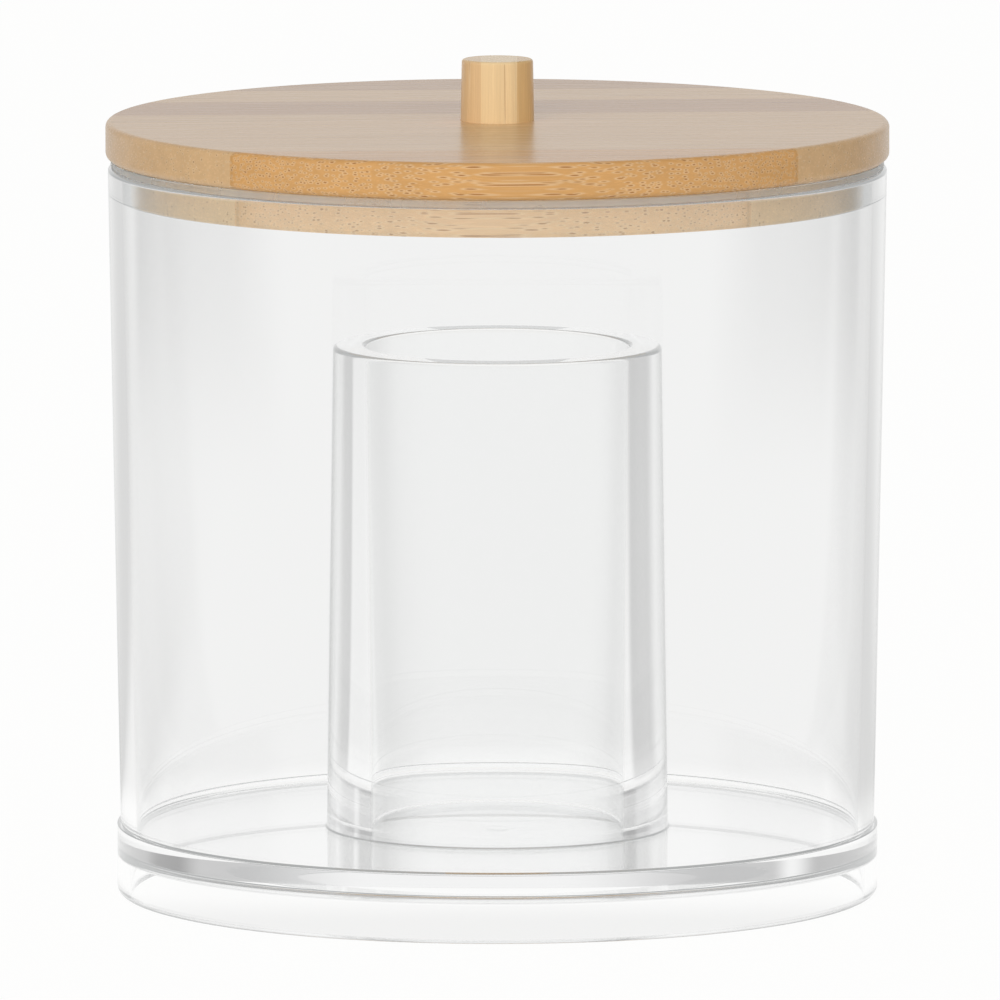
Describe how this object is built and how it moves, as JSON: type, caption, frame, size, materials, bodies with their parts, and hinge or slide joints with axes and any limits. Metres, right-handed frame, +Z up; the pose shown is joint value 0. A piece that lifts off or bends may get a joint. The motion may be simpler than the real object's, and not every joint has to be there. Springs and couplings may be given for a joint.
{
  "type": "cotton pad holder",
  "caption": "Round clear plastic jar with a narrow swab cup fixed in its middle, a ring space round it for cotton pads, and a wooden lift-off lid with a clear seal and a small knob.",
  "frame": {"origin": "centre of the jar's base, on the table", "axes": "+Z up along the jar's axis; X and Y across, with the lid's grain along X"},
  "size_m": [0.1042, 0.1042, 0.1116],
  "materials": {
    "jar_plastic": "clear polystyrene, polished",
    "cup_plastic": "clear polystyrene, polished",
    "disc_bamboo": "bamboo, thin satin lacquer",
    "plug_bamboo": "bamboo, thin satin lacquer",
    "seal_silicone": "clear silicone, smooth",
    "knob_bamboo": "bamboo, thin satin lacquer",
    "screw_steel": "zinc plated"
  },
  "bodies": {
    "jar_body": {"jar": "jar_plastic", "swab_cup": "cup_plastic"},
    "lid_body": {"lid_disc": "disc_bamboo", "lid_plug": "plug_bamboo", "lid_seal": "seal_silicone", "knob": "knob_bamboo", "knob_screw": "screw_steel"}
  },
  "joints": [
    {"name": "lid_lift", "type": "slide", "parent": "jar_body", "child": "lid_body", "axis": [0, 0, 1], "range_m": [0, 0.04]}
  ]
}
